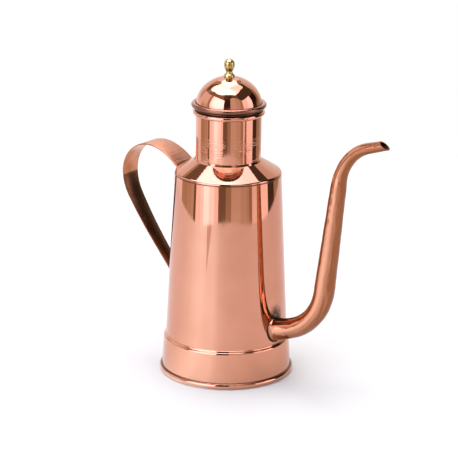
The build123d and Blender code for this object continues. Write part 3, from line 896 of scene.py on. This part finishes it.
@dataclass
class Spout:
    """The tapered swan-neck tube."""

    root: Point = (0.0488, 0.0438)
    root_heading: float = 9.6
    lower_bends: tuple[Point, ...] = ((0.092, 20.5), (0.046, 83.1))
    leg: float = 0.091
    upper_bends: tuple[Point, ...] = ((0.043, 54.0), (0.0355, 17.0))
    tip: float = 0.0147
    tip_cut: float = 51.5
    buried: float = 0.0015
    wall: float = 0.0009
    # Distance from the wall along the tube, and radius there
    stations: tuple[Point, ...] = (
        (0.0, 0.0092), (0.014, 0.0084), (0.038, 0.0080), (0.072, 0.0084), (0.155, 0.00645), (0.170, 0.0055),
        (0.219, 0.00395),
    )
    section_points: int = 72
    dent_depth: float = 0.0004
    dent_mm: float = 9.0
    # Reach that lies between the tube's two ends
    halfway: float = 0.09

    @property
    def past(self) -> float:
        """How far the tube runs on past its tip before it is cut."""
        return 2 * self.stations[-1][1]

    def course(self) -> Course:
        """The tube's centreline, from just inside the pot's wall to past the tip."""
        course = Course(polar(self.root, -self.buried, self.root_heading), self.root_heading).run(self.buried)
        for radius, end in self.lower_bends:
            course.bend(radius, end)
        course.run(self.leg)
        for radius, end in self.upper_bends:
            course.bend(radius, end)
        return course.run(self.tip + self.past)

    def build(self) -> None:
        """Makes the spout and lets it stand for its CAD node."""
        course = self.course()
        radii = [float(np.interp(d - self.buried, *zip(*self.stations))) for d in course.distances()]
        origin = (0.0, 0.0)
        settings = {
            "Path": curve_object("spout_line", [upright(point) for point in course.points], radii),
            "Section Points": self.section_points,
            "Wall": self.wall,
            "Cut Point": upright(polar(course.at, -self.past, course.heading)),
            "Cut Normal": upright(polar(origin, 1.0, course.heading - self.tip_cut + 90)),
            "Run": upright(polar(origin, 1.0, course.heading)),
            "Dent Depth": self.dent_depth,
            "Dent Size": per_metre(self.dent_mm),
            "Finish": DRAWN_COPPER.material(),
            "Bore Finish": BORE.material(),
        }
        piece = grow("spout_tube", tube_tree(), settings)
        self.close_rims(piece)
        tidy(piece, sharp=40.0)
        attach(piece, "pot", "spout")

    def close_rims(self, piece: Piece) -> None:
        """Joins the outside to the bore at both ends of the tube."""
        finish = piece.data.materials.find(DRAWN_COPPER.name)
        shape = bmesh.new()
        shape.from_mesh(piece.data)
        for at_tip in (False, True):
            rim = [e for e in shape.edges if e.is_boundary and (e.verts[0].co.x > self.halfway) == at_tip]
            for face in bmesh.ops.bridge_loops(shape, edges=rim)["faces"]:
                face.material_index = finish
        shape.to_mesh(piece.data)
        shape.free()


@dataclass
class Handle:
    """The strap handle, wide at the shoulder and narrow at the wall."""

    thickness: float = 0.0012
    root: Point = (0.0433, 0.1683)
    root_heading: float = 37.5
    root_run: float = 0.007
    buried: float = 0.0015
    # Radius and new heading of each bend, on either side of where the strap turns down
    upper_bends: tuple[Point, ...] = ((0.045, 12.7), (0.0285, -90.0))
    lower_bends: tuple[Point, ...] = ((0.0389, -120.7), (0.354, -127.7))
    leg: float = 0.03276
    foot_bend: float = 0.009
    tab: float = 0.013
    # At the root, at the grip and at the foot
    half_widths: Triple = (0.012, 0.0097, 0.0056)
    grip_run: float = 0.005
    foot_taper: float = 0.062
    edge: float = 0.0003
    # The middle of the hand's opening, and how squarely a face looks at it or sideways where emery didn't reach
    loop_centre: Triple = (-0.068, 0.0, 0.14)
    inner_facing: float = 0.4
    side_facing: float = 0.6

    def section(self) -> list[Triple]:
        """Closed section of the strap at its root, with its edges rounded."""
        deep = self.thickness / 2 - self.edge
        side = self.half_widths[0] - self.edge
        corners = (((side, deep), 0.0), ((-side, deep), 90.0), ((-side, -deep), 180.0), ((side, -deep), 270.0))
        return [(x, y, 0.0) for c, angle in corners for x, y in arc(c, self.edge, angle, angle + 90.0, 30.0)]

    def build(self) -> None:
        """Makes the strap and lets it stand for its CAD node."""
        inset = self.thickness / 2
        start = polar(polar(self.root, -self.buried, self.root_heading), inset, self.root_heading - 90.0)
        course = Course(start, self.root_heading).run(self.buried + self.root_run)
        for radius, end in self.upper_bends:
            course.bend(radius - inset, end)
        turn_reach, turn_height = course.at
        for radius, end in self.lower_bends:
            course.bend(radius - inset, end)
        course.run(self.leg)
        course.bend(self.foot_bend + inset, math.degrees(math.atan(WALL_TAPER)) - 90).run(self.tab)
        root, grip, foot = self.half_widths
        widths = []
        for reach, height in course.points:
            if height > turn_height:
                half = np.interp(reach, (self.root[0], turn_reach + self.grip_run), (root, grip))
            else:
                half = np.interp(height, (self.foot_taper, turn_height), (foot, grip))
            widths.append(float(half) / root)
        settings = {
            "Path": curve_object("strap_line", [upright((-x, z)) for x, z in course.points], widths),
            "Section": curve_object("strap_section", self.section(), cyclic=True),
            "Finish": EMERIED_COPPER.material(),
        }
        piece = grow("handle_strap_piece", strap_tree(), settings)
        tidy(piece, sharp=50.0)
        piece.data.materials.append(ROLLED_COPPER.material())
        for face in piece.data.polygons:
            inwards = (Vector(self.loop_centre) - face.center).normalized()
            if face.normal.dot(inwards) > self.inner_facing or abs(face.normal.y) > self.side_facing:
                face.material_index = 1
        attach(piece, "pot", "handle_strap")


@dataclass
class Lid:
    """The lift-off lid: wired dome, collar that plugs the neck, and knob."""

    bead_centre: Point = (0.0282, 0.2241)
    bead_radius: float = 0.0020
    # Height above the bead's middle where the dome's side meets the bead, as a share of the bead's radius
    bead_meets: float = 0.6
    side_reach: float = 0.0267
    side_radius: float = 0.023
    crown_radius: float = 0.029
    dome_top: float = 0.2471
    screw_hole: float = 0.0014
    collar_radius: float = 0.0246
    collar_bottom: float = 0.200
    lead_in: float = 0.0005
    seat: float = 0.2202
    stop_radius: float = 0.0276
    collar_upper: float = 0.0258
    collar_top: float = 0.2245
    knob_turns: int = 96
    knob_top: float = 0.2611
    knob_ball: float = 0.0043
    knob_neck: Point = (0.0025, 0.2508)
    knob_foot: float = 0.0045
    knob_edge: float = 0.0006
    # Where the hollow curve meets the full one, as a share of the way from the neck
    ball_turn: float = 0.15
    foot_turn: float = 0.6

    def crown_height(self, radius: float) -> float:
        """Height of the dome's outer face at a small radius."""
        return self.dome_top - self.crown_radius + math.sqrt(self.crown_radius ** 2 - radius ** 2)

    def dome(self) -> Profile:
        """Closed profile of the dome, from its hole down round the wire's curl and back inside."""
        side_x = self.side_reach - self.side_radius
        crown_z = self.dome_top - self.crown_radius
        gap = self.crown_radius - self.side_radius
        join = math.degrees(math.acos(side_x / gap))
        side_z = crown_z + gap * math.sin(math.radians(join))
        bead_z = self.bead_centre[1] + self.bead_radius * self.bead_meets
        lows = (math.degrees(math.asin((bead_z - side_z) / self.side_radius)), 0.0)
        faces = []
        for inset, low in zip((0.0, SHEET), lows):
            hole = math.degrees(math.acos(self.screw_hole / (self.crown_radius - inset)))
            crown = arc((0.0, crown_z), self.crown_radius - inset, hole, join, 3.0)
            faces.append(crown + arc((side_x, side_z), self.side_radius - inset, join, low, 3.0)[1:])
        outer, inner = faces
        crease = math.degrees(math.atan2(outer[-1][1] - self.bead_centre[1], outer[-1][0] - self.bead_centre[0]))
        curl = arc(self.bead_centre, self.bead_radius, crease, -180.0, 9.0)
        return outer[:-1] + curl + inner[::-1] + outer[:1]

    def collar(self) -> Profile:
        """Closed profile of the collar with the folded bead that the lid rests on."""
        top = self.bead_centre[1] - self.bead_radius
        fold = (top - self.seat) / 2
        middle = (self.stop_radius - fold, self.seat + fold)
        flare = self.collar_bottom + 4 * self.lead_in
        low = (self.collar_radius - self.lead_in, self.collar_bottom)
        inside, inside_upper = self.collar_radius - SHEET, self.collar_upper - SHEET
        outside = [low, (self.collar_radius, flare), (self.collar_radius, self.seat)]
        outside += arc(middle, fold, -90.0, 90.0, 15.0)
        outside += [(self.collar_upper, top), (self.collar_upper, self.collar_top)]
        back = [(inside_upper, self.collar_top), (inside_upper, top - SHEET)]
        back += arc(middle, fold - SHEET, 90.0, -90.0, 15.0)
        back += [(inside, self.seat + SHEET), (inside, flare), (low[0] - SHEET, low[1]), low]
        return held(outside + back)

    def knob(self) -> Profile:
        """Profile of the egg-shaped knob, from the middle of its bell foot to its top."""
        ball_z = self.knob_top - self.knob_ball
        widest = (self.knob_ball, ball_z)
        low = (self.knob_foot, self.crown_height(self.knob_foot))
        edge = (low[0], low[1] + self.knob_edge)
        under_ball = between(self.knob_neck, widest, self.ball_turn)
        above_foot = between(self.knob_neck, edge, self.foot_turn)
        up, down = (0.0, 1.0), (0.0, -1.0)
        bell = tangent_arc(edge, above_foot, up) + tangent_arc(self.knob_neck, above_foot, down)[-2::-1]
        body = tangent_arc(self.knob_neck, under_ball, up) + tangent_arc(widest, under_ball, down)[-2::-1]
        crown = arc((0.0, ball_z), self.knob_ball, 0.0, 90.0, 5.0)[1:-1] + [(0.0, self.knob_top)]
        return held([(0.0, self.dome_top), low] + bell + body[1:] + crown, 0.0001)

    def build(self, lathe: Lathe) -> None:
        """Makes the lid's pieces and lets them stand for their CAD nodes."""
        dome = lathe.turn("lid_dome_shell", self.dome(), LID_COPPER)
        line_inside(dome, self.bead_centre[1], self.dome_top, self.collar_upper - SHEET)
        attach(dome, "lid", "lid_dome")
        attach(lathe.turn("lid_collar_sleeve", self.collar(), LID_COPPER), "lid", "lid_collar")
        attach(lathe.turn("lid_knob", self.knob(), TURNED_BRASS, self.knob_turns), "lid", "knob")


# What the CAD nodes that stay in view are finished with
NODE_FINISHES = {
    "foot_wire": COPPER_WIRE,
    "neck_wire": COPPER_WIRE,
    "lid_wire": COPPER_WIRE,
    "bottom_plate": POLISHED_COPPER,
    "neck_solder": SPUN_COPPER,
    "spout_solder": BRAZE,
    "handle_top_solder": SOLDER_AND_JOINT_SHADE,
    "handle_foot_solder": SOLDER_AND_JOINT_SHADE,
    "lid_solder": TIN_SOLDER,
    "knob_washer": TURNED_BRASS,
    "knob_screw": ZINC_PLATE,
}


def dress_nodes(nodes: dict[str, Piece]) -> None:
    """Gives the CAD nodes that stay in view their finishes."""
    for name, finish in NODE_FINISHES.items():
        nodes[name].data.materials.clear()
        nodes[name].data.materials.append(finish.material())
        LOG.info("%s: finish %s", name, finish.name)


# Studio


WHITE = (1.0, 1.0, 1.0, 1.0)


def set_stops(ramp: bpy.types.ColorRamp, stops: Iterable[tuple[float, Sequence[float]]]) -> None:
    """Gives a new ramp the place and the colour of each of its stops."""
    elements = ramp.elements
    elements.remove(elements[1])
    for i, (place, colour) in enumerate(stops):
        element = elements.new(place) if i else elements[0]
        element.position = place
        element.color = (*colour, 1.0)


@dataclass
class Studio:
    """White table, soft light and camera.

    Azimuths are seen from the pot: 0 is towards the camera and more is to the camera's right.
    """

    table_radius: float = 0.717
    # How wide the table is across the view, as a share of its depth
    table_squash: float = 0.9
    # How far the table is below the foot
    table_gap: float = 0.0001
    # The table's colour to the camera and as the metal sees it, and what it gives off by itself
    laminate: tuple[str, str] = ("#F1EFEA", "#E2DFDA")
    lift: float = 0.02
    # A dark bar painted on the table that only the metal sees, a painted reflection of a lamp stand's leg: its ends'
    # distances, and its middle and half width there
    leg: Point = (0.45, 0.7)
    painted_leg_azimuths: tuple[Point, Point] = ((0.3895, 0.4005), (0.0, 0.0145))
    painted_leg_tint: Colour = (0.74, 0.6, 0.5, 1.0)
    # How much of the daylight's sheen the painted leg takes away
    painted_leg_shade: float = 0.45
    camera_azimuth: float = 35.5
    camera_elevation: float = 17.3
    camera_distance: float = 1.7476
    camera_roll: float = 0.65
    camera_yaw: float = -0.04
    target_height: float = 0.1194
    focal_pixels: float = 2145.0
    image_pixels: float = 458.0
    # The lamp's azimuth and elevation from its target, and the target's height
    lamp_way: Point = (-140.0, 79.0)
    lamp_target: float = 0.1
    lamp_distance: float = 1.4
    lamp_size: float = 1.0
    lamp_energy: float = 9.6
    # Brightness of the room to what light has already been scattered by
    plain: float = 0.52
    # Brightness of what stands round the table, from an azimuth on: lowest at the table's height, then at eye level
    skirting: tuple[Point, ...] = (
        (-180, 0.8), (-150, 0.95), (-114, 0.4), (-96, 0.46), (-84, 0.52), (-76, 0.15), (-71, 1.2), (-60, 1.45),
        (-53, 1.95), (-40, 1.6), (-29, 1.15), (-21, 0.16), (-5, 0.32), (7, 0.58), (26, 0.5), (38, 0.44), (45, 0.28),
        (51, 0.9), (66, 1.15), (92, 0.05), (113, 0.32), (135, 0.45), (150, 0.6),
    )
    panels: tuple[Point, ...] = (
        (-180, 0.8), (-142, 0.55), (-124, 0.85), (-84, 0.4), (-73, 2.0), (-62, 2.45), (-19, 0.03), (5, 0.62),
        (26, 0.52), (41, 0.36), (52, 1.2), (72, 1.65), (92, 0.015), (121, 0.22), (134, 0.62), (150, 0.72),
    )
    # Elevations between which the one turns into the other
    eye_level: Point = (-6.0, 12.0)
    # The same above the panels, up to the ceiling, and of the ceiling
    frieze: tuple[Point, ...] = (
        (-180, 1.0), (-160, 0.4), (-145, 0.14), (-122, 0.34), (-104, 0.2), (-65, 0.22), (-25, 0.08), (0, 0.05),
        (12, 0.12), (45, 0.06), (145, 0.3), (162, 1.0),
    )
    ceiling: tuple[Point, ...] = (
        (-180, 3.0), (-150, 2.6), (-135, 2.4), (-110, 2.6), (-60, 2.9), (-20, 3.0), (20, 2.9), (40, 2.5), (80, 1.9),
        (130, 1.7), (150, 2.5), (179, 3.0),
    )
    # Elevation of the panels' and the frieze's upper edges at an azimuth
    panel_tops: tuple[Point, ...] = (
        (-180, 20), (-160, 35), (-140, 31), (-130, 28), (-110, 33), (-90, 38), (-75, 41), (-50, 42), (-35, 40),
        (-19, 37), (3, 46), (20, 48), (32, 46), (45, 38), (52, 31.5), (70, 33), (92, 34), (94, 30), (125, 29),
        (140, 42), (150, 45), (160, 35), (179, 20),
    )
    frieze_tops: tuple[Point, ...] = (
        (-180, 47), (-165, 46), (-150, 59), (-140, 57), (-130, 47), (-120, 43), (-108, 44.5), (-90, 52), (-60, 54),
        (-40, 56.5), (-20, 61), (0, 62), (20, 61.5), (34, 57.5), (42, 58), (55, 61), (90, 62.5), (105, 61),
        (130, 52), (140, 57), (150, 57), (165, 46), (179, 47),
    )
    # Daylight's sheen on the table as the metal sees it
    sheen: tuple[Point, ...] = (
        (-180, 0.05), (-137, 0.13), (-112, 0.22), (-93, 0.31), (-77, 0.52), (-63, 0.77), (-49, 0.97), (-37, 0.8),
        (-25, 0.74), (-13, 0.35), (0, 0.22), (11, 0.17), (23, 0.12), (35, 0.08), (47, 0.1), (60, 0.14), (90, 0.07),
        (108, 0.0), (131, 0.0), (160, 0.0), (179, 0.05),
    )
    sheen_tone: Colour = (0.62, 1.0, 1.25, 1.0)
    # What a brightness looks like: dim things in the room are brown, and the panels are daylight
    tones: tuple[tuple[float, Triple], ...] = (
        (0.0, (0.0, 0.0, 0.0)), (0.2, (0.24, 0.2, 0.14)), (0.45, (0.5, 0.45, 0.35)), (0.65, (0.66, 0.65, 0.62)),
        (0.85, (0.85, 0.85, 0.86)), (1.6, (1.6, 1.6, 1.9)), (2.5, (2.5, 2.6, 3.35)), (3.0, (3.4, 3.5, 4.3)),
    )
    brightest: float = 4.4
    glare: float = 1.36
    # How bright metal sees what it sees in metal, and what it sees in that in turn
    second: Colour = (0.68, 0.8, 0.72, 1.0)
    third: Colour = (2.2, 4.2, 6.0, 1.0)

    def table(self) -> None:
        """Makes the table top."""
        mesh = bpy.data.meshes.new("table_top")
        shape = bmesh.new()
        bmesh.ops.create_circle(shape, cap_ends=True, segments=128, radius=self.table_radius)
        shape.to_mesh(mesh)
        shape.free()
        squash = Matrix.Scale(self.table_squash, 4, self.towards(90.0, 0.0))
        mesh.transform(Matrix.Translation((0.0, 0.0, -self.table_gap)) @ squash)
        mesh.materials.append(self._table_finish())
        new_object("table_top", mesh)

    def _table_finish(self) -> bpy.types.Material:
        """Makes the white laminate, with the painted sheen and the painted dark leg that only the metal sees."""
        material = bpy.data.materials.new("white_laminate")
        tree = fresh_tree(material)
        node = partial(add, tree)
        place = node("ShaderNodeTexCoord").outputs["Object"]
        share = self._azimuth(tree, place)
        in_metal = self._rays(tree, "Glossy")
        shown, mirrored = (linear(colour) for colour in self.laminate)
        tone = node(MIX, {0: in_metal, 6: shown, 7: mirrored}, data_type="RGBA")
        # The painted leg: a dark bar in the table's colour and sheen that only glossy rays see, a painted reflection
        far = node(VECTOR, (place,), operation="LENGTH")
        middle, half = (node(SPAN, (far, *self.leg, *ends)) for ends in self.painted_leg_azimuths)
        off = node(MATH, (node(MATH, (share, middle), operation="SUBTRACT"),), operation="ABSOLUTE")
        leg = node(MATH, (node(MATH, (off, half), operation="LESS_THAN"), in_metal), operation="MULTIPLY")
        tone = node(MIX, {0: leg, 6: tone, 7: self.painted_leg_tint}, data_type="RGBA", blend_type="MULTIPLY")
        tone = self._in_metal(tree, tone)
        total = node("ShaderNodeBsdfPrincipled", {"Base Color": tone, "Roughness": 0.6, "Specular IOR Level": 0.0})
        sheen = node(MATH, (self._ramp(tree, share, self.sheen, 1.0, True), in_metal), operation="MULTIPLY")
        unlit = node(MATH, (leg, -self.painted_leg_shade, 1.0), operation="MULTIPLY_ADD")
        sheen = node(MATH, (sheen, unlit), operation="MULTIPLY")
        seen = self._rays(tree, "Camera", "Glossy", "Transmission")
        lift = node(MATH, (seen, self.lift), operation="MULTIPLY")
        for light in ((WHITE, lift), (self.sheen_tone, sheen)):
            total = node("ShaderNodeAddShader", (total, node("ShaderNodeEmission", light)))
        node("ShaderNodeOutputMaterial", (total,))
        return material

    def _rays(self, tree: Tree, *kinds: str) -> Any:
        """Adds the mask of the rays of some kinds, such as "Camera"."""
        path = add(tree, "ShaderNodeLightPath").outputs
        mask: Any = 0.0
        for kind in kinds:
            mask = add(tree, MATH, (path[f"Is {kind} Ray"], mask), operation="MAXIMUM")
        return mask

    def _azimuth(self, tree: Tree, way: Socket) -> Node:
        """Adds the azimuth of a direction from the camera's, as a share of the whole turn."""
        turn = (0.0, 0.0, math.radians(90.0 - self.camera_azimuth))
        part = add(tree, SPLIT, (add(tree, "ShaderNodeMapping", {"Vector": way, "Rotation": turn}),)).outputs
        azimuth = add(tree, MATH, (part[1], part[0]), operation="ARCTAN2")
        return add(tree, MATH, (azimuth, 1.0 / math.tau, 0.5), operation="MULTIPLY_ADD")

    def _in_metal(self, tree: Tree, colour: Node) -> Node:
        """Changes a colour for the rays that have been off metal twice or more."""
        bounces = add(tree, "ShaderNodeLightPath").outputs["Glossy Depth"]
        for depth, tint in ((1.5, self.second), (2.5, self.third)):
            deeper = add(tree, MATH, (bounces, depth), operation="GREATER_THAN")
            colour = add(tree, MIX, {0: deeper, 6: colour, 7: tint}, data_type="RGBA", blend_type="MULTIPLY")
        return colour

    def _ramp(self, tree: Tree, place: Any, stops: Iterable[Point], scale: float, smooth: bool = False) -> Node:
        """Adds a ramp over the azimuth.

        Args:
            tree: the tree.
            place: the azimuth as a share of the whole turn.
            stops: the azimuth and value of each stop.
            scale: the value that the ramp writes as 1.
            smooth: whether values run into each other.

        Returns:
            The ramp's node.
        """
        ramp = add(tree, "ShaderNodeValToRGB", (place,))
        ramp.color_ramp.interpolation = "LINEAR" if smooth else "CONSTANT"
        set_stops(ramp.color_ramp, ((azimuth / 360.0 + 0.5, (value / scale,) * 3) for azimuth, value in stops))
        return ramp

    def world(self) -> None:
        """Makes the room: white to the camera and plain to the table, with panels and gaps for the metal."""
        world = bpy.data.worlds.new("studio")
        bpy.context.scene.world = world
        tree = fresh_tree(world)
        node = partial(add, tree)
        ramp = partial(self._ramp, tree)
        way = node("ShaderNodeTexCoord").outputs["Generated"]
        share = self._azimuth(tree, way)
        rise = node(MATH, (node(SPLIT, (way,)).outputs[2],), operation="ARCSINE")
        height = node(MATH, (rise, 2.0 / math.pi), operation="MULTIPLY")
        low, high = (elevation / 90.0 for elevation in self.eye_level)
        skirting, panels = (ramp(share, stops, self.brightest) for stops in (self.skirting, self.panels))
        room = node(MIX, {0: node(SPAN, (height, low, high, 0.0, 1.0)), 6: skirting, 7: panels}, data_type="RGBA")
        for edges, above, smooth in ((self.panel_tops, self.frieze, False), (self.frieze_tops, self.ceiling, True)):
            over = node(MATH, (height, ramp(share, edges, 90.0, True)), operation="GREATER_THAN")
            upper = ramp(share, above, self.brightest, smooth)
            room = node(MIX, {0: over, 6: room, 7: upper}, data_type="RGBA")
        toned = node("ShaderNodeValToRGB", (room,))
        stops = ((value / self.brightest, [part / self.brightest for part in colour]) for value, colour in self.tones)
        set_stops(toned.color_ramp, stops)
        studio = node("ShaderNodeBackground", (self._in_metal(tree, toned), self.brightest * self.glare))
        plain, white = (node("ShaderNodeBackground", (WHITE, strength)) for strength in (self.plain, 1.0))
        scattered = node("ShaderNodeLightPath").outputs["Diffuse Depth"]
        lit = node("ShaderNodeMixShader", (scattered, studio, plain))
        total = node("ShaderNodeMixShader", (self._rays(tree, "Camera", "Transmission"), lit, white))
        node("ShaderNodeOutputWorld", (total,))

    def towards(self, azimuth: float, elevation: float) -> Vector:
        """Direction from the pot at an azimuth from the camera's, positive to its right, and an elevation."""
        turn = math.radians(azimuth - 90.0 + self.camera_azimuth)
        rise = math.radians(elevation)
        return Vector((math.cos(rise) * math.cos(turn), math.cos(rise) * math.sin(turn), math.sin(rise)))

    def lamp(self) -> None:
        """Hangs the soft lamp that gives the table its shadow."""
        data = bpy.data.lights.new("side_softbox", "AREA")
        data.shape = "DISK"
        data.size, data.energy = self.lamp_size, self.lamp_energy
        lamp = new_object("side_softbox", data)
        way = self.towards(*self.lamp_way)
        lamp.location = Vector((0.0, 0.0, self.lamp_target)) + way * self.lamp_distance
        lamp.rotation_euler = (-way).to_track_quat("-Z", "Y").to_euler()
        lamp.visible_glossy = False

    def camera(self) -> None:
        """Places the camera as in the photograph."""
        data = bpy.data.cameras.new("camera")
        data.sensor_fit = "HORIZONTAL"
        data.sensor_width = 36.0
        data.lens = self.focal_pixels / self.image_pixels * data.sensor_width
        data.clip_start, data.clip_end = 0.05, 30.0
        camera = new_object("camera", data)
        way = self.towards(0.0, self.camera_elevation)
        target = Vector((0.0, 0.0, self.target_height))
        look = (-way).to_track_quat("-Z", "Y").to_matrix()
        look = look @ Matrix.Rotation(math.radians(self.camera_yaw), 3, "Y")
        look = look @ Matrix.Rotation(math.radians(self.camera_roll), 3, "Z")
        camera.matrix_world = Matrix.LocRotScale(target + way * self.camera_distance, look.to_quaternion(), None)
        bpy.context.scene.camera = camera

    def build(self) -> None:
        """Makes the table, the room, the lamp and the camera."""
        self.table()
        self.world()
        self.lamp()
        self.camera()
        bpy.context.scene.view_settings.view_transform = "Standard"
        LOG.info("studio ready")


def main() -> None:
    """Builds the studio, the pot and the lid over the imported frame."""
    logging.basicConfig(level=logging.INFO, format="%(name)s %(message)s")
    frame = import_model()
    Studio().build()
    lathe = Lathe()
    Pot().build(lathe)
    Spout().build()
    Handle().build()
    Lid().build(lathe)
    dress_nodes(frame["nodes"])


if __name__ == "__main__":
    main()
